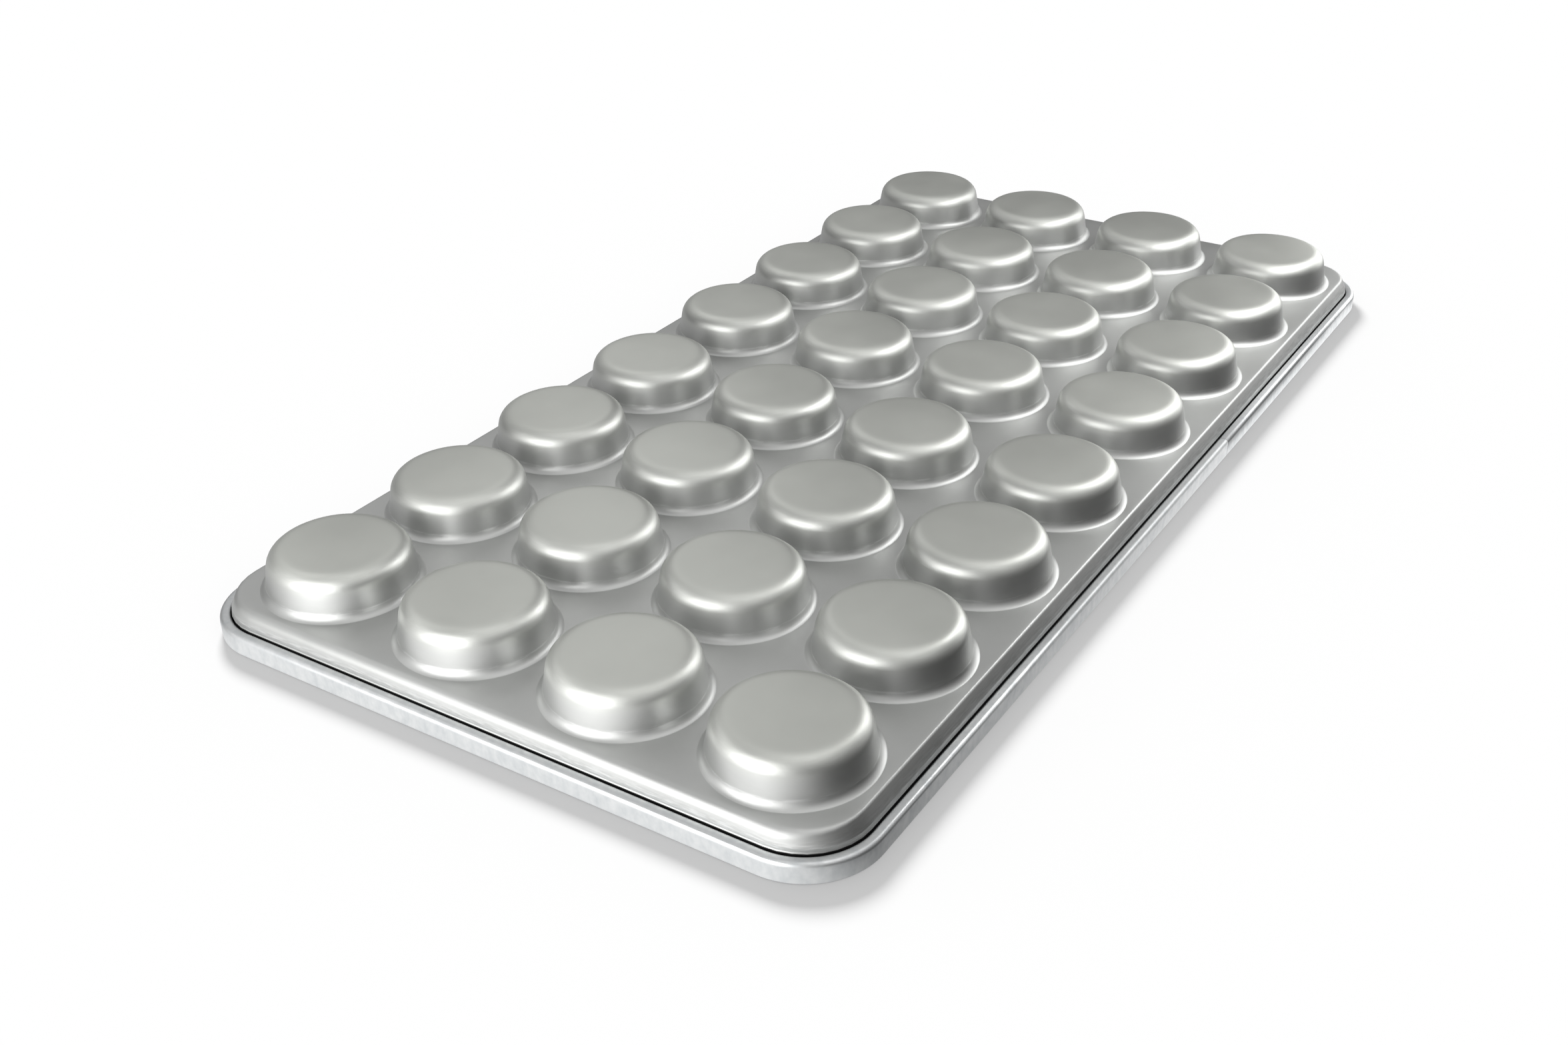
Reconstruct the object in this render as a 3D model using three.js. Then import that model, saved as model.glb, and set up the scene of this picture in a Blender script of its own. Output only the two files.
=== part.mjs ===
// A bun tray, shown upside down: it stands on its rim with the bottoms of its cups upwards.
// One pressed sheet carries all the cups. Its edge turns out into a flange, and a folded band
// wraps that flange together with a flat stiffening bar.
// Millimetres. +X runs along the long side, +Z is up, and the origin is under the middle of
// the tray, on the surface that it stands on.

import * as THREE from "three";
import { mergeGeometries, mergeVertices } from "three/addons/utils/BufferGeometryUtils.js";

// Pattern of the cups
const CUPS_LONG = 8;
const CUPS_SHORT = 4;
const WEB_LONG = 6.12; // flat sheet between two cup mouths along the long side
const WEB_SHORT = 7.22; // the same along the short side
const MIDDLE_GAP = 7.3; // extra web between the two halves of the long side
const EDGE_WEB = 2.36; // flat sheet between an outer cup mouth and the rounded deck edge

// One cup, measured on the face that shows in this pose
const CUP_DEPTH = 26.9;
const CUP_RADIUS = 43.9; // where the rounded edge of the cup's base meets its wall
const CUP_EDGE_RADIUS = 11;
const CUP_DRAFT = THREE.MathUtils.degToRad(10); // lean of the wall from upright
const CUP_FILLET = 4.0; // hollow round where the wall runs into the deck

// Pressed sheet outside the cups
const SHEET = 1.0;
const DECK_EDGE_RADIUS = 6.2;
const WALL_HEIGHT = 8.1; // deck above the foot of the sloping wall
const WALL_SLOPE = THREE.MathUtils.degToRad(14); // lean of the wall from upright
const FOOT_RISE = 3.4; // foot of the sloping wall above the band's lip
const FLANGE_BEND = 0.8; // inside radius where the wall turns out into the flange

// Folded band round the edge
const BAND = 0.8;
const FACE_HEIGHT = 9.0; // flat part of the outer face
const BASE_BEND = 1.6; // outer radius between the base and the outer face
const LIP_BEND = 2.8; // outer radius between the outer face and the lip
const LIP_FLAT = 2.4;
const TUCK_BEND = 1.7; // outer radius where the lip turns down beside the wall
const TUCK_LEG = 5.0; // straight end of the tucked edge
const SLIT = 0.9; // open slit between the tucked edge and the wall
const CORNER_RADIUS = 47; // outside of the band, in plan
const BAND_SEAM = 0.4; // gap where the two ends of the band meet
const BAND_SEAM_X = 99; // the band's seam, from the middle of the front long side

// Stiffening bar inside the band
const BAR_EDGE = 1.0; // round on the bar's two lower edges
const BAR_SEAM = 0.6; // gap where the two ends of the bar meet, on the back long side

const CLEARANCE = 0.3; // between pieces that touch

// Fineness of the facets
const CUP_SEGMENTS = 16;
const CUP_EDGE_STEPS = 2;
const CUP_FILLET_STEPS = 1;
const CORNER_SEGMENTS = 6;
const BEND_STEPS = 2;
const WIDE_BEND_STEPS = 3;

// Heights, from the surface that the tray stands on
const BAND_HEIGHT = BASE_BEND + FACE_HEIGHT + LIP_BEND;
const FOOT_Z = BAND_HEIGHT + FOOT_RISE;
const DECK_Z = FOOT_Z + WALL_HEIGHT;
const CUP_TOP_Z = DECK_Z + CUP_DEPTH;
const FLANGE_LOW_Z = BAND + CLEARANCE;
const FLANGE_TOP_Z = FLANGE_LOW_Z + SHEET;

// Insets, from the outside of the band towards the middle of the tray
const BAND_WIDTH = LIP_BEND + LIP_FLAT + TUCK_BEND;
const WALL_INSET = BAND_WIDTH + SLIT; // outer face of the upright part of the wall
const FLANGE_END_INSET = BAND + CLEARANCE;
const FLANGE_BEND_INSET = WALL_INSET - FLANGE_BEND;
const EDGE_TURN = Math.PI / 2 - WALL_SLOPE; // angle of the rounded deck edge
const EDGE_DROP = DECK_EDGE_RADIUS * (1 - Math.cos(EDGE_TURN));
const SLOPE_INSET = (WALL_HEIGHT - EDGE_DROP) * Math.tan(WALL_SLOPE);
const DECK_INSET = WALL_INSET + SLOPE_INSET + DECK_EDGE_RADIUS * Math.sin(EDGE_TURN);

// Radii of a cup
const CUP_TURN = Math.PI / 2 - CUP_DRAFT; // angle of the rounded edge and of the hollow round
const BASE_RADIUS = CUP_RADIUS - CUP_EDGE_RADIUS * Math.sin(CUP_TURN);
const CUP_WALL_HEIGHT = CUP_DEPTH - (CUP_EDGE_RADIUS + CUP_FILLET) * (1 - Math.cos(CUP_TURN));
const CUP_FOOT_RADIUS = CUP_RADIUS + CUP_WALL_HEIGHT * Math.tan(CUP_DRAFT);
const MOUTH_RADIUS = CUP_FOOT_RADIUS + CUP_FILLET * Math.sin(CUP_TURN);

// Places of the cups, and the size of the tray that they give
const LONG_PLACES = places(CUPS_LONG, 2 * MOUTH_RADIUS + WEB_LONG, MIDDLE_GAP);
const SHORT_PLACES = places(CUPS_SHORT, 2 * MOUTH_RADIUS + WEB_SHORT, 0);
const EDGE_OFFSET = MOUTH_RADIUS + EDGE_WEB + DECK_INSET; // outer cup centre to the band's face
const HALF_LENGTH = LONG_PLACES.at(-1) + EDGE_OFFSET;
const HALF_WIDTH = SHORT_PLACES.at(-1) + EDGE_OFFSET;

/** Evenly spaced places about zero, for a whole number of cups, with an extra gap in the middle. */
function places(count, pitch, middleGap) {
  const whole = Math.round(count);
  const middle = (whole - 1) / 2;
  return Array.from({ length: whole }, (_, index) => {
    const step = index - middle;
    return step * pitch + (Math.sign(step) * middleGap) / 2;
  });
}

/** Points of an arc from one angle to another, both ends included. */
function arc(centreX, centreY, radius, fromAngle, toAngle, steps) {
  return Array.from({ length: steps + 1 }, (_, index) => {
    const angle = fromAngle + ((toAngle - fromAngle) * index) / steps;
    return new THREE.Vector2(centreX + radius * Math.cos(angle), centreY + radius * Math.sin(angle));
  });
}

/** The tray's rounded outline in plan at an inset, counter-clockwise from the front side. */
function outline(inset) {
  const radius = CORNER_RADIUS - inset;
  const x = HALF_LENGTH - CORNER_RADIUS;
  const y = HALF_WIDTH - CORNER_RADIUS;
  const centres = [[x, -y], [x, y], [-x, y], [-x, -y]];
  return centres.flatMap(([centreX, centreY], corner) => {
    const start = ((corner - 1) * Math.PI) / 2;
    return arc(centreX, centreY, radius, start, start + Math.PI / 2, CORNER_SEGMENTS);
  });
}

/** The same outline as an open path that starts and ends at a seam in the front long side. */
function seamedOutline(inset, seamX, gap) {
  const front = inset - HALF_WIDTH;
  const start = new THREE.Vector2(seamX + gap / 2, front);
  const end = new THREE.Vector2(seamX - gap / 2, front);
  return [start, ...outline(inset), end];
}

/** Faces of a section carried round a path. Section points are inset and height. */
function sweptFaces(section, pathAt, pathClosed, sectionClosed) {
  const paths = section.map((point) => pathAt(point.x));
  const stations = paths[0].length;
  const rows = section.length;
  const positions = [];
  for (let station = 0; station < stations; station += 1) {
    for (let row = 0; row < rows; row += 1) {
      const place = paths[row][station];
      positions.push(place.x, place.y, section[row].y);
    }
  }
  const triangles = [];
  const lastStation = pathClosed ? stations : stations - 1;
  const lastRow = sectionClosed ? rows : rows - 1;
  for (let station = 0; station < lastStation; station += 1) {
    const here = station * rows;
    const next = ((station + 1) % stations) * rows;
    for (let row = 0; row < lastRow; row += 1) {
      const above = (row + 1) % rows;
      triangles.push(here + row, next + row, next + above);
      triangles.push(here + row, next + above, here + above);
    }
  }
  if (!pathClosed) {
    const endStart = (stations - 1) * rows;
    for (const [a, b, c] of THREE.ShapeUtils.triangulateShape(section, [])) {
      const area = THREE.ShapeUtils.area([section[a], section[b], section[c]]);
      const [second, third] = area < 0 ? [b, c] : [c, b];
      triangles.push(a, second, third);
      triangles.push(endStart + a, endStart + third, endStart + second);
    }
  }
  const geometry = new THREE.BufferGeometry();
  geometry.setAttribute("position", new THREE.Float32BufferAttribute(positions, 3));
  geometry.setIndex(triangles);
  return geometry;
}

/** Joins faces that share their edges into one closed body. */
function closedBody(faces) {
  for (const face of faces) {
    face.deleteAttribute("normal");
    face.deleteAttribute("uv");
  }
  const body = mergeVertices(mergeGeometries(faces), 1e-3);
  const index = Array.from(body.index.array);
  const whole = [];
  for (let corner = 0; corner < index.length; corner += 3) {
    const [a, b, c] = index.slice(corner, corner + 3);
    if (a !== b && b !== c && c !== a) whole.push(a, b, c);
  }
  body.setIndex(whole);
  body.computeVertexNormals();
  return body;
}

/** Turns faces over, so that they look the other way. */
function turnedOver(geometry) {
  const index = Array.from(geometry.index.array);
  for (let corner = 0; corner < index.length; corner += 3) {
    [index[corner + 1], index[corner + 2]] = [index[corner + 2], index[corner + 1]];
  }
  geometry.setIndex(index);
  return geometry;
}

/** One face of a cup from its mouth to the middle of its base, set in by a depth of metal. */
function cupFace(depth) {
  const fillet = arc(
    MOUTH_RADIUS, DECK_Z + CUP_FILLET, CUP_FILLET + depth,
    -Math.PI / 2, -Math.PI / 2 - CUP_TURN, CUP_FILLET_STEPS,
  );
  const edge = arc(
    BASE_RADIUS, CUP_TOP_Z - CUP_EDGE_RADIUS, CUP_EDGE_RADIUS - depth,
    CUP_DRAFT, Math.PI / 2, CUP_EDGE_STEPS,
  );
  const middle = new THREE.Vector2(0, CUP_TOP_Z - depth);
  return new THREE.LatheGeometry([...fillet, ...edge, middle], CUP_SEGMENTS).rotateX(Math.PI / 2);
}

/** Outline of a cup's mouth, read from the first ring of its face. */
function mouthOf(face) {
  const position = face.getAttribute("position");
  const rows = position.count / (CUP_SEGMENTS + 1);
  return Array.from({ length: CUP_SEGMENTS }, (_, segment) => {
    return new THREE.Vector2(position.getX(segment * rows), position.getY(segment * rows));
  });
}

/** The flat deck at a height, with a hole for every cup mouth. */
function deckFace(height, mouth) {
  const deck = new THREE.Shape(outline(DECK_INSET));
  for (const x of LONG_PLACES) {
    for (const y of SHORT_PLACES) {
      const centre = new THREE.Vector2(x, y);
      deck.holes.push(new THREE.Path(mouth.map((point) => point.clone().add(centre))));
    }
  }
  return new THREE.ShapeGeometry(deck).translate(0, 0, height);
}

/** All the cups' faces, copied from one. */
function cupFaces(face) {
  return LONG_PLACES.flatMap((x) => SHORT_PLACES.map((y) => face.clone().translate(x, y, 0)));
}

/** Section of the sheet outside the deck: inner face down, flange out and back, outer face up. */
function skirtSection() {
  const edgeZ = DECK_Z - DECK_EDGE_RADIUS;
  const innerEdge = arc(
    DECK_INSET, edgeZ, DECK_EDGE_RADIUS - SHEET,
    Math.PI / 2, Math.PI / 2 + EDGE_TURN, WIDE_BEND_STEPS,
  );
  const innerFoot = new THREE.Vector2(WALL_INSET + SHEET, FOOT_Z - SHEET * Math.tan(WALL_SLOPE / 2));
  const bendZ = FLANGE_TOP_Z + FLANGE_BEND;
  const outerBend = arc(
    FLANGE_BEND_INSET, bendZ, FLANGE_BEND + SHEET, 0, -Math.PI / 2, BEND_STEPS,
  );
  const flangeEnd = [
    new THREE.Vector2(FLANGE_END_INSET, FLANGE_LOW_Z),
    new THREE.Vector2(FLANGE_END_INSET, FLANGE_TOP_Z),
  ];
  const innerBend = arc(FLANGE_BEND_INSET, bendZ, FLANGE_BEND, -Math.PI / 2, 0, BEND_STEPS);
  const outerFoot = new THREE.Vector2(WALL_INSET, FOOT_Z);
  const outerEdge = arc(
    DECK_INSET, edgeZ, DECK_EDGE_RADIUS,
    Math.PI / 2 + EDGE_TURN, Math.PI / 2, WIDE_BEND_STEPS,
  );
  return [...innerEdge, innerFoot, ...outerBend, ...flangeEnd, ...innerBend, outerFoot, ...outerEdge];
}

/** Section of the folded band: base outwards, face up, lip inwards, tucked edge down, and back. */
function bandSection() {
  const lipZ = BAND_HEIGHT - LIP_BEND;
  const tuckZ = BAND_HEIGHT - TUCK_BEND;
  const tuckInset = LIP_BEND + LIP_FLAT;
  const tuckEndZ = tuckZ - TUCK_LEG;
  const bends = (depth, reverse) => {
    const base = arc(
      BASE_BEND, BASE_BEND, BASE_BEND - depth, -Math.PI / 2, -Math.PI, BEND_STEPS,
    );
    const lip = arc(LIP_BEND, lipZ, LIP_BEND - depth, Math.PI, Math.PI / 2, WIDE_BEND_STEPS);
    const tuck = arc(tuckInset, tuckZ, TUCK_BEND - depth, Math.PI / 2, 0, BEND_STEPS);
    const points = [
      new THREE.Vector2(FLANGE_BEND_INSET, depth),
      ...base,
      ...lip,
      ...tuck,
      new THREE.Vector2(BAND_WIDTH - depth, tuckEndZ),
    ];
    return reverse ? points.reverse() : points;
  };
  return [...bends(0, false), ...bends(BAND, true)];
}

/** Section of the bar: it fills the band above the flange, with its upper edges rounded to suit. */
function barSection() {
  const low = FLANGE_TOP_Z + CLEARANCE;
  const outer = BAND + CLEARANCE;
  const inner = BAND_WIDTH - BAND - CLEARANCE;
  const tuckInset = LIP_BEND + LIP_FLAT;
  return [
    ...arc(inner - BAR_EDGE, low + BAR_EDGE, BAR_EDGE, 0, -Math.PI / 2, BEND_STEPS),
    ...arc(outer + BAR_EDGE, low + BAR_EDGE, BAR_EDGE, -Math.PI / 2, -Math.PI, BEND_STEPS),
    ...arc(LIP_BEND, BAND_HEIGHT - LIP_BEND, LIP_BEND - outer, Math.PI, Math.PI / 2, WIDE_BEND_STEPS),
    ...arc(tuckInset, BAND_HEIGHT - TUCK_BEND, TUCK_BEND - outer, Math.PI / 2, 0, BEND_STEPS),
  ];
}

/** The pressed sheet: deck, cups, sloping wall and flange, each with both of its faces. */
function mouldSheet() {
  const topCup = cupFace(0);
  const underCup = turnedOver(cupFace(SHEET));
  const faces = [
    deckFace(DECK_Z, mouthOf(topCup)),
    turnedOver(deckFace(DECK_Z - SHEET, mouthOf(underCup))),
    ...cupFaces(topCup),
    ...cupFaces(underCup),
    sweptFaces(skirtSection(), outline, true, false),
  ];
  const pressedAluminium = new THREE.MeshStandardMaterial({ color: 0xb8b9b3, roughness: 0.4, metalness: 1 });
  return named("mould_sheet", closedBody(faces), pressedAluminium);
}

/** The band, one strip bent round the four corners, with its seam in the front long side. */
function rimBand() {
  const path = (inset) => seamedOutline(inset, BAND_SEAM_X, BAND_SEAM);
  const coatedSteel = new THREE.MeshStandardMaterial({ color: 0xb0b5b6, roughness: 0.45, metalness: 1 });
  return named("rim_band", closedBody([sweptFaces(bandSection(), path, false, true)]), coatedSteel);
}

/** The bar inside the band. Its seam is in the back long side, so the bar bridges the band's seam. */
function rimBar() {
  const path = (inset) => seamedOutline(inset, 0, BAR_SEAM);
  const plainSteel = new THREE.MeshStandardMaterial({ color: 0x85888a, roughness: 0.55, metalness: 1 });
  const bar = named("rim_bar", closedBody([sweptFaces(barSection(), path, false, true)]), plainSteel);
  bar.rotation.z = Math.PI;
  return bar;
}

function named(name, geometry, material) {
  const mesh = new THREE.Mesh(geometry, material);
  mesh.name = name;
  return mesh;
}

const tray = new THREE.Group();
tray.name = "bun_tray";
tray.add(mouldSheet(), rimBand(), rimBar());

export default tray;
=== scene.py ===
import math

import bpy
import numpy as np
from mathutils import Matrix, Vector


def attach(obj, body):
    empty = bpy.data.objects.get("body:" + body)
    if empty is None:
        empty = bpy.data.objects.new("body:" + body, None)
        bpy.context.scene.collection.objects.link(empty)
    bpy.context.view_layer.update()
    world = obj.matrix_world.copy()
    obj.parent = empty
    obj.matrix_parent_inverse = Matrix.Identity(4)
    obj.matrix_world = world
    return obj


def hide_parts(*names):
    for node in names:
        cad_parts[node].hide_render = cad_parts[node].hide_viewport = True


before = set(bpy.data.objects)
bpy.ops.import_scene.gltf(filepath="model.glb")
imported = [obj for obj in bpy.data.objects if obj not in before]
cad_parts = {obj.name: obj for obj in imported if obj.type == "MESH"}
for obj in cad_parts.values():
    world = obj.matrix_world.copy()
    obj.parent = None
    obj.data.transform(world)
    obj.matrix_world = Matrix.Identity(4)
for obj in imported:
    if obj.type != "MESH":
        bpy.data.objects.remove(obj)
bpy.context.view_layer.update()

# Pressed sheet. One aluminium pressing holds all the cups, the deck between them, the rounded deck
# edge and the wall below it. The wall's foot goes down into the rim and turns out into a flange.
# It is drawn as its outer face, in millimetres, and gets the thickness of the sheet at the end.
MM = 0.001
cups_long = 8
cups_short = 4
sheet_thickness = 1.0
cup_top_z = 51.8
cup_depth = 26.9
deck_z = cup_top_z - cup_depth
cup_radius = 43.9
cup_edge_radius = 11.0
base_crown = 0.6
cup_draft = 10.0
flare_radius = 6.4
flare_end = 24.0
mouth_round = 1.0
wall_strip = 0.9
base_rows = np.array([0.5, 0.92])
edge_start = 88.0
edge_steps = 7
flare_steps = 5
mouth_steps = 2
deck_rows = np.array([0.08, 0.5, 1.0])
pitch_long = 106.92
pitch_short = 108.02
middle_gap = 7.3
deck_margin = 52.76
corner_radius = 47.0
around = 60


def cup_places(count, pitch, gap):
    """Even steps of the pitch about zero, pushed apart by half the gap on each side of the middle."""
    step = np.arange(count) - (count - 1) / 2
    return step * pitch + np.sign(step) * gap / 2


def bend(centre, radius, start, stop, steps):
    """Points of an arc in the plane of a section: centre plus radius times cosine and sine."""
    angle = np.radians(np.linspace(start, stop, steps + 1))
    return np.stack([centre[0] + radius * np.cos(angle), centre[1] + radius * np.sin(angle)], axis=-1)


def cup_section():
    """Radius and height of the cup's face from its base to its mouth.

    The base, crowned by the square of the radius, runs into a convex arc and the arc into the wall. A
    wide hollow arc flares the wall out, and a tight hollow arc turns the flare's last slope level with
    the deck.
    """
    slope = math.radians(cup_draft)
    base_radius = cup_radius - cup_edge_radius * math.cos(slope)
    flat = np.stack([base_radius * base_rows, cup_top_z - base_crown * base_rows ** 2], axis=-1)
    edge_z = cup_top_z - base_crown - cup_edge_radius
    edge = bend((base_radius, edge_z), cup_edge_radius, edge_start, cup_draft, edge_steps)
    mouth = bend((0, deck_z + mouth_round), mouth_round, 270 - flare_end, 270, mouth_steps)
    flare = bend((0, 0), flare_radius, 180 + cup_draft, 270 - flare_end, flare_steps)
    flare += mouth[0] - flare[-1]
    wall_end = edge[-1, 0] + (edge[-1, 1] - flare[0, 1]) * math.tan(slope)
    above = flare[:1] + wall_strip * np.array([[-math.sin(slope), math.cos(slope)]])
    turned = np.concatenate([above, flare, mouth[1:]])
    turned[:, 0] += wall_end - flare[0, 0]
    return np.concatenate([flat, edge, turned])


def cell_borders(places):
    """Distances from each cup to the lower and upper border of its share of the deck, on one axis."""
    middles = (places[1:] + places[:-1]) / 2
    low = places - np.concatenate([[places[0] - deck_margin], middles])
    high = np.concatenate([middles, [places[-1] + deck_margin]]) - places
    return low, high


places_x = cup_places(cups_long, pitch_long, middle_gap)
places_y = cup_places(cups_short, pitch_short, 0.0)
half_deck = np.array([places_x[-1], places_y[-1]]) + deck_margin
wall_inset = 7.8
foot_z = 16.8
short_edge_radius = 6.2
short_slope = math.radians(14.0)
long_edge_radius = 2.2
long_slope = math.radians(27.5)
wall_edge_steps = 8
foot_bend = 0.4
foot_rows = np.array([[0, 14.75], [0.08, 14.35], [0.35, 14.05], [0.37, 13.6], [0.1, 12.6], [0, 11.0]])
flange_z = 2.1
flange_bend = 0.8
flange_steps = 3
flange_inset = 1.1
edge_drop = short_edge_radius * (1 - math.sin(short_slope))
slope_run = (deck_z - foot_z - edge_drop) * math.tan(short_slope)
deck_inset = wall_inset + slope_run + short_edge_radius * math.cos(short_slope)
half_tray = half_deck + deck_inset
arc_middle = half_tray - corner_radius


def outline_normal(points):
    """Outward direction of the rounded outline: away from the rectangle of the corner arcs' middles."""
    away = np.sign(points) * np.maximum(np.abs(points) - arc_middle, 0)
    return away / np.linalg.norm(away, axis=-1, keepdims=True)


def deck_borders():
    """Border of every cup's share of the deck, as an array of cups by directions by two.

    A square of side two, divided so that the directions are even, is stretched to the cell. Points
    past a corner arc of the tray are drawn back along their ray from the cup to that arc.
    """
    side = np.tan(np.radians(np.linspace(-45, 45, around // 4 + 1)[:-1]))
    one = np.ones_like(side)
    square = np.concatenate([
        np.stack([side, -one], -1), np.stack([one, side], -1),
        np.stack([-side, one], -1), np.stack([-one, -side], -1),
    ])
    left, right = cell_borders(places_x)
    below, above = cell_borders(places_y)
    x = np.where(square[:, 0] > 0, right[:, None], left[:, None]) * square[:, 0]
    y = np.where(square[:, 1] > 0, above[:, None], below[:, None]) * square[:, 1]
    shape = (cups_long, cups_short, around)
    border = np.stack([np.broadcast_to(x[:, None], shape), np.broadcast_to(y[None], shape)], -1)
    border = border.reshape(-1, around, 2).copy()
    grid = np.stack(np.meshgrid(places_x, places_y, indexing="ij"), -1).reshape(-1, 1, 2)
    arc = np.sign(grid) * arc_middle - grid
    past = np.all((border + grid) * np.sign(grid) > arc_middle, axis=-1)
    radius = corner_radius - deck_inset
    square_length = np.sum(border * border, -1)
    along = np.sum(border * arc, -1)
    root = along ** 2 - square_length * (np.sum(arc * arc, -1) - radius ** 2)
    share = (along + np.sqrt(np.maximum(root, 0))) / square_length
    border *= np.where(past, share, 1.0)[..., None]
    return grid, border


def grid_faces(start, rows, columns, closed):
    """Four-sided faces between the rows of a grid of points, numbered from a start."""
    last = columns if closed else columns - 1
    row, column = np.meshgrid(np.arange(rows - 1), np.arange(last), indexing="ij")
    beside = (column + 1) % columns
    corners = [row * columns + column, (row + 1) * columns + column,
               (row + 1) * columns + beside, row * columns + beside]
    return np.stack(corners, -1).reshape(-1, 4) + start


def wall_section(radius, slope):
    """Distance out from the deck's border and height, from the rounded deck edge to the flange.

    A convex arc, the sloping wall, an upright foot with a small flare above the rim's lip, and a
    hollow arc into the flat flange. The arc lies where the wall below it meets the foot.
    """
    foot = deck_inset - wall_inset
    drop = deck_z - foot_z - radius * (1 - math.sin(slope))
    arc_at = foot - drop * math.tan(slope) - radius * math.cos(slope)
    edge = bend((arc_at, deck_z - radius), radius, 90, math.degrees(slope), wall_edge_steps)
    edge[0, 0] = 0.0
    turn = np.array([[-foot_bend * math.tan(slope), foot_z + foot_bend], [0, foot_z - foot_bend]])
    upright = np.concatenate([turn, foot_rows]) + [foot, 0]
    flange = bend((foot + flange_bend, flange_z + flange_bend), flange_bend, 180, 270, flange_steps)
    end = np.array([[deck_inset - flange_inset, flange_z]])
    return np.concatenate([edge, upright, flange, end])


def rubbed(section, spot, reach):
    """How much a section is worn near a spot: e to minus the square of distance over reach."""
    distance = np.linalg.norm(section - np.array(spot), axis=-1)
    return np.exp(-(distance / reach) ** 2)


flare_start = -(flare_steps + mouth_steps + 1)
mouth_wear = 0.5
mouth_reach = 0.5
edge_wear = 0.1
edge_reach = 4.0
foot_wear = 0.5
foot_reach = 1.2
bend_middle = 0.3


def sheet_face():
    """Points, faces and wear of the sheet's outer face.

    Each cup is its section turned round its axis. The deck fills in straight lines from the mouth to
    the cell's border, and the wall is its section carried round the outline along the normals: the
    square of the normal's second part blends the rounder short sides into the sharper long sides.
    Wear lies along the cups' mouths and base edges and the foot of the wall.
    """
    centres, border = deck_borders()
    direction = border / np.linalg.norm(border, axis=-1, keepdims=True)
    section = cup_section()
    turned = section[None, :, None, :1] * direction[:, None]
    height = np.broadcast_to(section[None, :, None, 1:], turned.shape[:3] + (1,))
    share = deck_rows[None, :, None, None]
    mouth = (section[-1, 0] * direction)[:, None]
    deck = mouth + share * (border[:, None] - mouth)
    deck = np.concatenate([deck, np.full(deck.shape[:3] + (1,), deck_z)], -1)
    cell = np.concatenate([np.concatenate([turned, height], -1), deck], axis=1)
    cell[..., :2] += centres[:, None]
    count, rows = cell.shape[:2]
    edge_middle = np.array([cup_radius, cup_top_z]) - bend_middle * cup_edge_radius
    cup_rub = mouth_wear * rubbed(section, section[flare_start], mouth_reach)
    cup_rub += edge_wear * rubbed(section, edge_middle, edge_reach)
    row_rub = np.concatenate([cup_rub, np.zeros_like(deck_rows)])
    cell_rub = np.broadcast_to(row_rub[None, :, None], cell.shape[:3])
    middle = np.concatenate([centres[:, 0], np.full((count, 1), cup_top_z)], -1)
    quads = [grid_faces(index * rows * around, rows, around, True) for index in range(count)]
    base = count * rows * around
    spoke = np.arange(around)
    fan = np.stack([np.zeros_like(spoke), spoke, (spoke + 1) % around], -1)
    fans = np.concatenate([
        fan + np.array([0, index * rows * around, index * rows * around]) + [base + index, 0, 0]
        for index in range(count)
    ])
    edge = (border + centres).reshape(cups_long, cups_short, 4, -1, 2)
    path = np.concatenate([
        edge[:, 0, 0].reshape(-1, 2), edge[-1, :, 1].reshape(-1, 2),
        edge[::-1, -1, 2].reshape(-1, 2), edge[0, ::-1, 3].reshape(-1, 2),
    ])
    out = outline_normal(path)
    short_wall = wall_section(short_edge_radius, short_slope)[:, None]
    long_wall = wall_section(long_edge_radius, long_slope)[:, None]
    wall = short_wall + out[None, :, 1:] ** 2 * (long_wall - short_wall)
    wall_points = np.concatenate([path[None] + wall[..., :1] * out[None], wall[..., 1:]], -1)
    wall_rub = foot_wear * rubbed(wall, (deck_inset - wall_inset, foot_z), foot_reach)
    quads.append(grid_faces(base + count, len(wall), len(path), True))
    points = np.concatenate([cell.reshape(-1, 3), middle, wall_points.reshape(-1, 3)])
    rub = np.concatenate([cell_rub.ravel(), np.zeros(count), wall_rub.ravel()])
    return points, [np.concatenate(quads), fans], rub


def add_piece(name, points, faces, values=None, attribute="rub"):
    """A mesh object at the origin, from points in millimetres, with equal points joined.

    Its faces are smooth, apart from the many-sided ones that close the ends of a strip. Values of its
    points, such as their wear, go into the attribute.
    """
    _, first, joined = np.unique(np.round(points, 4), axis=0, return_index=True, return_inverse=True)
    joined = joined.ravel()
    mesh = bpy.data.meshes.new(name)
    sides = [joined[face].tolist() for face in faces]
    mesh.from_pydata((points[first] * MM).tolist(), [], [face for group in sides for face in group])
    corners = np.empty(len(mesh.polygons), dtype=np.int32)
    mesh.polygons.foreach_get("loop_total", corners)
    mesh.polygons.foreach_set("use_smooth", corners <= 4)
    if values is not None:
        stored = mesh.attributes.new(attribute, "FLOAT", "POINT")
        stored.data.foreach_set("value", values[first].astype(np.float32))
    mesh.update()
    piece = bpy.data.objects.new(name, mesh)
    bpy.context.scene.collection.objects.link(piece)
    return piece


def new_metal(name, colour, roughness):
    """A metal with its plain values set on the shader's own sockets."""
    material = bpy.data.materials.new(name)
    material.use_nodes = True
    shader = material.node_tree.nodes["Principled BSDF"]
    shader.inputs["Metallic"].default_value = 1.0
    shader.inputs["Base Color"].default_value = (*colour, 1.0)
    shader.inputs["Roughness"].default_value = roughness
    return material, material.node_tree, shader


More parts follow.
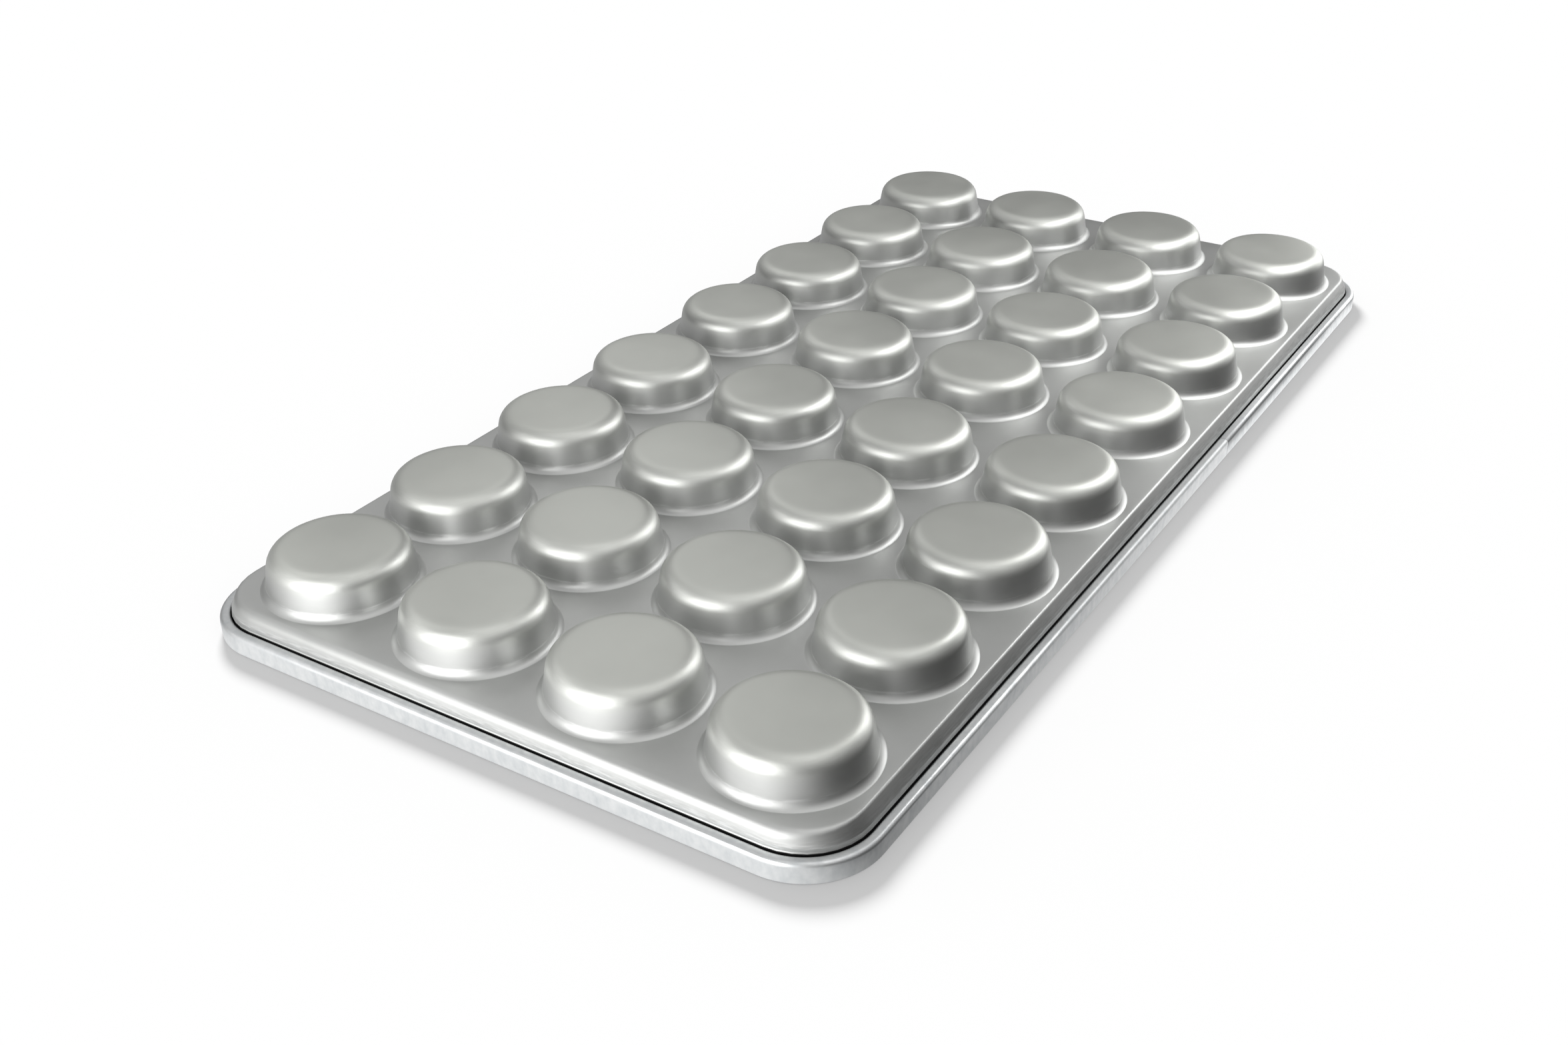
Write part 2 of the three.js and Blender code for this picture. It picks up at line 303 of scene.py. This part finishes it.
def add_noise(tree, scale, detail, stretch=(1.0, 1.0, 1.0)):
    """Noise on Object coordinates, stretched along the axes by a Mapping node."""
    place = tree.nodes.new("ShaderNodeTexCoord")
    mapping = tree.nodes.new("ShaderNodeMapping")
    mapping.inputs["Scale"].default_value = stretch
    noise = tree.nodes.new("ShaderNodeTexNoise")
    noise.inputs["Scale"].default_value = scale
    noise.inputs["Detail"].default_value = detail
    tree.links.new(place.outputs["Object"], mapping.inputs["Vector"])
    tree.links.new(mapping.outputs["Vector"], noise.inputs["Vector"])
    return noise


noise_low = 0.3
noise_high = 0.7


def add_tones(tree, source, dark, light):
    """A ramp between two close tones of the same metal, over the span that a noise fills."""
    ramp = tree.nodes.new("ShaderNodeValToRGB")
    ramp.color_ramp.elements[0].position = noise_low
    ramp.color_ramp.elements[0].color = (*dark, 1.0)
    ramp.color_ramp.elements[1].position = noise_high
    ramp.color_ramp.elements[1].color = (*light, 1.0)
    tree.links.new(source, ramp.inputs["Fac"])
    return ramp.outputs["Color"]


def add_math(tree, operation, *values):
    """A Math node. Each of its inputs takes another node's output or a plain number."""
    node = tree.nodes.new("ShaderNodeMath")
    node.operation = operation
    for socket, value in zip(node.inputs, values):
        if isinstance(value, bpy.types.NodeSocket):
            tree.links.new(value, socket)
        else:
            socket.default_value = value
    return node.outputs["Value"]


def add_blend(tree, share, low, high):
    """A mix of two colours by a share. Each colour is another node's output or three plain numbers."""
    node = tree.nodes.new("ShaderNodeMix")
    node.data_type = "RGBA"
    tree.links.new(share, node.inputs[0])
    for socket, value in zip(node.inputs[6:8], (low, high)):
        if isinstance(value, bpy.types.NodeSocket):
            tree.links.new(value, socket)
        else:
            socket.default_value = (*value, 1.0)
    return node.outputs[2]


def add_steps(tree, source, start, stop, low, high):
    """Carries a value from one span over to another, held at both ends."""
    span = tree.nodes.new("ShaderNodeMapRange")
    span.inputs["From Min"].default_value = start
    span.inputs["From Max"].default_value = stop
    span.inputs["To Min"].default_value = low
    span.inputs["To Max"].default_value = high
    tree.links.new(source, span.inputs["Value"])
    return span.outputs["Result"]


def add_wear(tree, scale, stretch=(1.0, 1.0, 1.0)):
    """Share of bare rubbed metal: the attribute rub times fine broken streaks."""
    rub = tree.nodes.new("ShaderNodeAttribute")
    rub.attribute_name = "rub"
    streak = add_noise(tree, scale=scale, detail=4.0, stretch=stretch)
    broken = add_steps(tree, streak.outputs["Fac"], start=0.40, stop=0.62, low=0.0, high=1.0)
    return add_math(tree, "MULTIPLY", broken, rub.outputs["Fac"])


def add_bump(tree, shader, height, strength, distance):
    """A bump on the shader's normal from one height pattern."""
    bump = tree.nodes.new("ShaderNodeBump")
    bump.inputs["Strength"].default_value = strength
    bump.inputs["Distance"].default_value = distance
    tree.links.new(height, bump.inputs["Height"])
    tree.links.new(bump.outputs["Normal"], shader.inputs["Normal"])


# Painted shade: below the lip's height the outer face of the wall's foot is painted dark, for the slit
# between the wall and the band's tucked edge.
foot_shade_top = 14.1
foot_shade_fade = 0.7
# Painted light: the tones of the cups' bases below are a shade paler and warmer than the sheet, so the
# deck between the cups stays darker as painted shade.
painted_lit_base_fade = 14.0
sheet_dark = (0.49, 0.496, 0.486)
sheet_light = (0.56, 0.566, 0.556)
painted_lit_base_dark = (0.585, 0.596, 0.56)
painted_lit_base_light = (0.645, 0.656, 0.618)
bare_aluminium = (0.86, 0.865, 0.86)
wear_polish = 0.12
wave_share = 2.5


def pressed_aluminium(name, foot_tone):
    """Satin aluminium with a cloudy tone. The cups' bases are painted a shade paler and warmer, as
    painted light, so the deck between the cups stays darker as painted shade.

    Worn edges show brighter broken streaks. Below the lip's height the foot of the wall takes the tone
    that is passed in: a painted shade on the outer face, for the slit beside the band's tucked edge. A
    fine grain and a slight waviness make the bump.
    """
    material, tree, shader = new_metal(name, (0.58, 0.587, 0.57), 0.4)
    cloud = add_noise(tree, scale=14.0, detail=8.0)
    sheet_tone = add_tones(tree, cloud.outputs["Fac"], sheet_dark, sheet_light)
    painted_lit_base_tone = add_tones(tree, cloud.outputs["Fac"], painted_lit_base_dark, painted_lit_base_light)
    place = tree.nodes.new("ShaderNodeTexCoord")
    axes = tree.nodes.new("ShaderNodeSeparateXYZ")
    tree.links.new(place.outputs["Object"], axes.inputs["Vector"])
    # Painted light: the top 14 mm of each cup, up to its base, blends into the paler, warmer tone.
    painted_lit_base_share = add_steps(tree, axes.outputs["Z"], (cup_top_z - painted_lit_base_fade) * MM, cup_top_z * MM, 0.0, 1.0)
    tone = add_blend(tree, painted_lit_base_share, sheet_tone, painted_lit_base_tone)
    # Painted shade: below the lip's height the foot takes the tone passed in, dark on the outer face.
    below_lip = add_steps(tree, axes.outputs["Z"], foot_shade_top * MM, (foot_shade_top - foot_shade_fade) * MM, 0.0, 1.0)
    tone = add_blend(tree, below_lip, tone, foot_tone)
    wear = add_wear(tree, scale=110.0, stretch=(1.0, 1.0, 9.0))
    tree.links.new(add_blend(tree, wear, tone, bare_aluminium), shader.inputs["Base Color"])
    gloss = add_steps(tree, cloud.outputs["Fac"], noise_low, noise_high, low=0.41, high=0.49)
    tree.links.new(add_math(tree, "MULTIPLY_ADD", wear, -wear_polish, gloss), shader.inputs["Roughness"])
    grain = add_noise(tree, scale=900.0, detail=3.0)
    wave = add_noise(tree, scale=26.0, detail=1.0)
    relief = add_math(tree, "MULTIPLY_ADD", wave.outputs["Fac"], wave_share, grain.outputs["Fac"])
    add_bump(tree, shader, relief, strength=0.06, distance=0.0005)
    return material


# Painted shade for the slit beside the band, on the outer face; the inside keeps a plain tone.
painted_slit_shade = (0.10, 0.10, 0.10)
plain_foot = (0.52, 0.53, 0.525)
mould_sheet = add_piece("mould_sheet_pressed", *sheet_face())
thickness = mould_sheet.modifiers.new("sheet", "SOLIDIFY")
thickness.thickness = sheet_thickness * MM
thickness.offset = -1.0
thickness.use_even_offset = True
thickness.material_offset = 1
mould_sheet.data.materials.append(pressed_aluminium("pressed_aluminium", painted_slit_shade))
mould_sheet.data.materials.append(pressed_aluminium("pressed_aluminium_inside", plain_foot))
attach(mould_sheet, "root")
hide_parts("mould_sheet")

# Stiffening bar. A flat steel bar bent to the tray's outline lies on the flange inside the band.
# Nothing of it shows, so it stays the plain solid with a dull rolled finish.


def rolled_steel():
    """Dull rolled steel, with streaks along the bar's length on the long sides."""
    material, tree, shader = new_metal("rolled_steel", (0.52, 0.53, 0.54), 0.55)
    streak = add_noise(tree, scale=60.0, detail=3.0, stretch=(0.2, 1.0, 1.0))
    tone = add_tones(tree, streak.outputs["Fac"], dark=(0.47, 0.48, 0.49), light=(0.56, 0.57, 0.58))
    tree.links.new(tone, shader.inputs["Base Color"])
    return material


rim_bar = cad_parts["rim_bar"]
rim_bar.data.materials.clear()
rim_bar.data.materials.append(rolled_steel())

# Folded band. One steel strip is bent round the tray and folded over the flange and the bar: base,
# outer face, lip, and an edge tucked down beside the wall. Its ends meet in a butt seam.
band_thickness = 0.8
band_height = 13.4
base_bend = 1.6
lip_bend = 2.8
tuck_bend = 1.7
band_width = 6.9
tuck_leg = 5.0
base_gap = 0.8
base_steps = 4
lip_steps = 8
tuck_steps = 6
seam_x = 99.0
seam_gap = 0.4
corner_steps = 24
lip_reach = 1.2


def band_section():
    """Inset and height round the closed section: the outer face from base to tucked edge, and back."""
    def face(depth):
        start = np.array([[wall_inset - base_gap, depth]])
        base = bend((base_bend, base_bend), base_bend - depth, -90, -180, base_steps)
        lip = bend((lip_bend, band_height - lip_bend), lip_bend - depth, 180, 90, lip_steps)
        tuck_at = (band_width - tuck_bend, band_height - tuck_bend)
        tuck = bend(tuck_at, tuck_bend - depth, 90, 0, tuck_steps)
        end = np.array([[band_width - depth, band_height - tuck_bend - tuck_leg]])
        return np.concatenate([start, base, lip, tuck, end])
    return np.concatenate([face(0.0), face(band_thickness)[::-1]])


def corner_stations():
    """Middle and outward angle of each station on the four corners: even steps about the arcs' middles."""
    turn = np.radians(np.linspace(0, 90, corner_steps + 1))
    middles = arc_middle * np.array([[1, -1], [1, 1], [-1, 1], [-1, -1]])
    angle = (np.radians([-90, 0, 90, 180])[:, None] + turn).ravel()
    return np.repeat(middles, corner_steps + 1, axis=0), angle


def band_path():
    """Middles of the corner arcs and outward directions of the stations, from the seam and back to it.

    Straight stretches move the point and keep the direction, and corners turn the direction.
    """
    point, angle = corner_stations()
    ends = np.array([[seam_x + seam_gap / 2, -arc_middle[1]], [seam_x - seam_gap / 2, -arc_middle[1]]])
    point = np.concatenate([ends[:1], point, ends[1:]])
    angle = np.concatenate([[-math.pi / 2], angle, [1.5 * math.pi]])
    return point, np.stack([np.cos(angle), np.sin(angle)], -1)


def band_faces():
    """Points, faces and wear of the band: its section carried along the path, with both ends closed."""
    section = band_section()
    lip_in = bend_middle * lip_bend
    section_rub = rubbed(section, (lip_in, band_height - lip_in), lip_reach)
    point, normal = band_path()
    flat = point[:, None] + (corner_radius - section[None, :, :1]) * normal[:, None]
    height = np.broadcast_to(section[None, :, 1:], flat.shape[:2] + (1,))
    points = np.concatenate([flat, height], -1)
    stations, rows = points.shape[:2]
    ring = np.concatenate([points, points[:, :1]], axis=1)
    faces = grid_faces(0, stations, rows + 1, False)
    first = np.arange(rows)[None]
    last = (stations - 1) * (rows + 1) + np.arange(rows)[None, ::-1]
    ring_rub = np.tile(np.append(section_rub, section_rub[0]), stations)
    return ring.reshape(-1, 3), [faces, first, last], ring_rub


band_dark = (0.54, 0.56, 0.57)
band_light = (0.67, 0.68, 0.68)
bare_steel = (0.74, 0.75, 0.75)
band_polish = 0.06
mottle_share = 0.75
streak_share = 0.25


def coated_steel():
    """Satin coated steel: cool grey, finely mottled, with faint streaks up and down the strip.

    The bend below the lip is rubbed brighter in short broken stretches.
    """
    material, tree, shader = new_metal("coated_steel", (0.60, 0.615, 0.62), 0.38)
    mottle = add_noise(tree, scale=230.0, detail=6.0, stretch=(1.0, 1.0, 0.7))
    streak = add_noise(tree, scale=110.0, detail=3.0, stretch=(1.0, 1.0, 0.06))
    most = add_math(tree, "MULTIPLY", mottle.outputs["Fac"], mottle_share)
    pattern = add_math(tree, "MULTIPLY_ADD", streak.outputs["Fac"], streak_share, most)
    tone = add_tones(tree, pattern, band_dark, band_light)
    wear = add_wear(tree, scale=70.0)
    tree.links.new(add_blend(tree, wear, tone, bare_steel), shader.inputs["Base Color"])
    gloss = add_steps(tree, pattern, noise_low, noise_high, low=0.46, high=0.34)
    tree.links.new(add_math(tree, "MULTIPLY_ADD", wear, -band_polish, gloss), shader.inputs["Roughness"])
    add_bump(tree, shader, pattern, strength=0.08, distance=0.0004)
    return material


rim_band = add_piece("rim_band_folded", *band_faces())
rim_band.data.materials.append(coated_steel())
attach(rim_band, "root")
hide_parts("rim_band")

# Floor. A wide white board that the tray stands on. A part of its white is its own glow, for the camera
# and for reflections, and the rest is lit, so that the tray's shadow on it stays soft and pale.
floor_half = 8000.0
floor_white = 0.25
floor_glow = 0.33
floor_points = floor_half * np.array([[-1, -1, 0], [1, -1, 0], [1, 1, 0], [-1, 1, 0]])
floor = add_piece("floor", floor_points, [np.array([[0, 1, 2, 3]])])


def white_board():
    """Matt white, with a glow that only camera, glossy and transmitted rays see."""
    material = bpy.data.materials.new("white_board")
    material.use_nodes = True
    tree = material.node_tree
    shader = tree.nodes["Principled BSDF"]
    shader.inputs["Base Color"].default_value = (floor_white, floor_white, floor_white, 1.0)
    shader.inputs["Roughness"].default_value = 1.0
    shader.inputs["Specular IOR Level"].default_value = 0.0
    shader.inputs["Emission Color"].default_value = (1.0, 1.0, 1.0, 1.0)
    rays = tree.nodes.new("ShaderNodeLightPath")
    glossy = add_math(tree, "MAXIMUM", rays.outputs["Is Camera Ray"], rays.outputs["Is Glossy Ray"])
    seen = add_math(tree, "MAXIMUM", glossy, rays.outputs["Is Transmission Ray"])
    tree.links.new(add_math(tree, "MULTIPLY", seen, floor_glow), shader.inputs["Emission Strength"])
    return material


floor.data.materials.append(white_board())

# Light tent. A wide dome about the tray, no lamp but a glow: dark, with soft bright places that stand in
# for lamps behind its cloth. Only the metal's reflections see it: the floor and the camera see the white
# room outside.
tent_radius = 7000.0
tent_sides = 48
tent_rings = 14
tent_top = 86.0
tent_grey = 0.02


def tent_dome():
    """Rings of the dome: its radius times the cosine and sine of azimuth and elevation."""
    azimuth = np.radians(np.linspace(0, 360, tent_sides, endpoint=False))
    elevation = np.radians(np.linspace(0, tent_top, tent_rings))[:, None]
    ring = [np.cos(elevation) * np.cos(azimuth), np.cos(elevation) * np.sin(azimuth)]
    points = tent_radius * np.stack([*ring, np.broadcast_to(np.sin(elevation), ring[0].shape)], -1)
    top = (tent_rings - 1) * tent_sides + np.arange(tent_sides)[None]
    return points.reshape(-1, 3), [grid_faces(0, tent_rings, tent_sides, True), top]


def direction_at(azimuth, elevation):
    """Unit vector from the tray towards a place in the room, from two angles in degrees."""
    level = math.cos(math.radians(elevation))
    turn = math.radians(azimuth)
    return Vector((level * math.cos(turn), level * math.sin(turn), math.sin(math.radians(elevation))))


def plain_glow(name):
    """A material that only glows, with its node tree and the shader."""
    material = bpy.data.materials.new(name)
    material.use_nodes = True
    tree = material.node_tree
    tree.nodes.remove(tree.nodes["Principled BSDF"])
    shader = tree.nodes.new("ShaderNodeEmission")
    tree.links.new(shader.outputs["Emission"], tree.nodes["Material Output"].inputs["Surface"])
    return material, tree, shader


def tent_cloth(places):
    """Glow of the tent: each place adds its strength times e to the focus times (cosine - 1)."""
    material, tree, shader = plain_glow("tent_cloth")
    centre = tree.nodes.new("ShaderNodeTexCoord")
    ray = tree.nodes.new("ShaderNodeVectorMath")
    ray.operation = "NORMALIZE"
    tree.links.new(centre.outputs["Object"], ray.inputs[0])
    glow = tent_grey
    for azimuth, elevation, focus, strength in places:
        cosine = tree.nodes.new("ShaderNodeVectorMath")
        cosine.operation = "DOT_PRODUCT"
        cosine.inputs[1].default_value = direction_at(azimuth, elevation)
        tree.links.new(ray.outputs["Vector"], cosine.inputs[0])
        below = add_math(tree, "SUBTRACT", cosine.outputs["Value"], 1.0)
        fall = add_math(tree, "MULTIPLY", below, focus)
        bright = add_math(tree, "POWER", math.e, fall)
        glow = add_math(tree, "ADD", add_math(tree, "MULTIPLY", bright, strength), glow)
    tree.links.new(glow, shader.inputs["Strength"])
    return material


def show_to_reflections(thing):
    """Leaves a thing of the studio to glossy and transmitted rays alone, without a shadow."""
    thing.visible_camera = False
    thing.visible_diffuse = False
    thing.visible_shadow = False


# Each place of the tent has an azimuth and an elevation, in degrees, a focus and a strength.
tent = add_piece("tent", *tent_dome())
tent.data.materials.append(tent_cloth([
    (180.0, 8.0, 11.0, 2.2),
    (60.0, 8.0, 11.0, 0.15),
    (45.0, 42.0, 9.0, 0.56),
    (90.0, 35.0, 9.0, 0.35),
    (0.0, 38.0, 9.0, 0.08),
    (270.0, 35.0, 9.0, 0.16),
    (300.0, 62.0, 9.0, 0.5),
    (340.0, 5.0, 14.0, 1.4),
    (235.0, 50.0, 8.0, 0.5),
    (0.0, 90.0, 9.0, 0.86),
]))
show_to_reflections(tent)

# Grey card. A board cut out to the tray's outline lies on the floor about it and keeps the white floor
# out of the metal. It is no lamp but glows with its grey, white at the left, dark at the front corner,
# paler along the right side, and only the metal's reflections see it.
card_lift = 0.4
card_rings = np.array([0.0, 11.0, 17.0, 38.0, 60.0, 2500.0])
card_shares = np.array([1.0, 1.0, 0.4, 0.2, 0.0, 0.0])
card_front = 0.3
card_back = 1.5
card_fade = np.array([-420.0, 180.0])
card_left = 1.2
card_other = 0.5
card_far = 0.03
card_stations = 17


def card_face():
    """Points, faces and greys of the card: rings about the outline, along its normals.

    The squares of the normal's parts share out the greys of the four sides, so they run into each
    other round the corners. On the right side the grey fades along the tray, and is dark far out.
    """
    centre, angle = corner_stations()
    along = np.linspace(-1, 1, card_stations)[1:-1] * arc_middle[0]
    right = np.stack([along, np.full_like(along, -arc_middle[1])], -1)
    centre = np.concatenate([centre, right])
    angle = np.concatenate([angle, np.full_like(along, 1.5 * math.pi)])
    normal = np.stack([np.cos(angle), np.sin(angle)], -1)
    flat = centre + (corner_radius + card_rings[:, None, None]) * normal
    points = np.concatenate([flat, np.full(flat.shape[:2] + (1,), card_lift)], -1)
    shares = np.maximum(np.concatenate([normal, -normal], -1), 0) ** 2
    fading = np.interp(centre[:, 0], card_fade, [card_front, card_back])
    right_grey = card_far + card_shares[:, None] * (fading - card_far)
    other_grey = shares[:, 2] * card_left + (shares[:, 0] + shares[:, 1]) * card_other
    grey = shares[:, 3] * right_grey + other_grey
    return points.reshape(-1, 3), [grid_faces(0, len(card_rings), len(angle), True)], grey.ravel()


def card_glow():
    """The card's grey as a glow, from the attribute that carries it."""
    material, tree, shader = plain_glow("card_glow")
    grey = tree.nodes.new("ShaderNodeAttribute")
    grey.attribute_name = "grey"
    tree.links.new(grey.outputs["Fac"], shader.inputs["Strength"])
    return material


card = add_piece("card", *card_face(), attribute="grey")
card.data.materials.append(card_glow())
show_to_reflections(card)

# Studio lamps. Soft boxes stand close to the tray at its short side and along its long sides, for the
# highlights on the edges of the cups. A soft lamp high at the back lays the shadow on the floor, and only
# the band throws it, so that it falls as one even strip.


def add_soft_box(name, place, aim, width, height, radiance):
    """A rectangular lamp that faces a point of the tray, with the power that gives its radiance."""
    lamp = bpy.data.lights.new(name, "AREA")
    lamp.shape = "RECTANGLE"
    lamp.size = width
    lamp.size_y = height
    lamp.energy = radiance * math.pi * width * height
    box = bpy.data.objects.new(name, lamp)
    box.location = place
    box.rotation_euler = (Vector(place) - Vector(aim)).to_track_quat("Z", "Y").to_euler()
    box.visible_camera = False
    box.visible_diffuse = False
    bpy.context.scene.collection.objects.link(box)


tray_middle = (0.0, 0.0, 0.04)
add_soft_box("left_low_box", (-0.95, 0.10, 0.18), tray_middle, 0.7, 0.30, 3.0)
add_soft_box("left_high_box", (-0.95, 0.10, 0.52), tray_middle, 0.7, 0.36, 2.4)
add_soft_box("left_back_box", (-0.75, 0.65, 0.32), tray_middle, 0.6, 0.60, 0.7)
add_soft_box("right_high_box", (0.43, -0.34, 0.48), (0.43, 0.0, 0.26), 0.75, 0.13, 5.2)
add_soft_box("right_low_box", (0.31, -0.34, 0.26), (0.31, 0.0, 0.12), 0.5, 0.13, 1.7)
add_soft_box("right_front_box", (-0.20, -0.34, 0.52), (-0.20, 0.0, 0.47), 0.5, 0.13, 0.65)
add_soft_box("right_back_low_box", (1.00, -0.35, 0.16), tray_middle, 0.4, 0.24, 1.4)
add_soft_box("right_back_high_box", (1.00, -0.35, 0.44), tray_middle, 0.4, 0.30, 1.8)
add_soft_box("side_front_box", (-0.45, 0.36, 0.40), (-0.45, 0.0, 0.35), 0.3, 0.32, 0.6)
add_soft_box("side_back_box", (0.15, 0.36, 0.40), (0.15, 0.0, 0.35), 0.3, 0.32, 0.33)

shadow_lamp = bpy.data.lights.new("shadow_lamp", "SUN")
shadow_lamp.energy = 10.37
shadow_lamp.angle = math.radians(18.0)
shadow_maker = bpy.data.objects.new("shadow_lamp", shadow_lamp)
shadow_maker.rotation_euler = direction_at(azimuth=45.0, elevation=30.6).to_track_quat("Z", "Y").to_euler()
shadow_maker.visible_glossy = False
bpy.context.scene.collection.objects.link(shadow_maker)
shadow_edge = bpy.data.collections.new("shadow_edge")
shadow_edge.objects.link(rim_band)
shadow_maker.light_linking.blocker_collection = shadow_edge

white_room = bpy.data.worlds.new("white_room")
white_room.use_nodes = True
white_room.node_tree.nodes["Background"].inputs["Color"].default_value = (1.0, 1.0, 1.0, 1.0)
white_room.node_tree.nodes["Background"].inputs["Strength"].default_value = 1.0
bpy.context.scene.world = white_room

# Camera, at the photograph's place: turned from the long side, looking down, with a slight roll.
camera_at = Vector((-0.97488, -0.54354, 0.57856))
camera_yaw = math.radians(32.780)
camera_pitch = math.radians(-30.343)
camera_roll = math.radians(-0.816)
forward = Vector((
    math.cos(camera_pitch) * math.cos(camera_yaw), math.cos(camera_pitch) * math.sin(camera_yaw),
    math.sin(camera_pitch),
))
level_right = forward.cross(Vector((0, 0, 1))).normalized()
level_up = level_right.cross(forward)
camera_right = math.cos(camera_roll) * level_right + math.sin(camera_roll) * level_up
camera_up = -math.sin(camera_roll) * level_right + math.cos(camera_roll) * level_up
lens = bpy.data.cameras.new("camera")
lens.sensor_width = 36.0
lens.lens = 39.07
lens.clip_end = 50.0
camera = bpy.data.objects.new("camera", lens)
turn = Matrix((camera_right, camera_up, -forward)).transposed().to_4x4()
camera.matrix_world = Matrix.Translation(camera_at) @ turn
bpy.context.scene.collection.objects.link(camera)
bpy.context.scene.camera = camera
bpy.context.scene.view_settings.view_transform = "Standard"
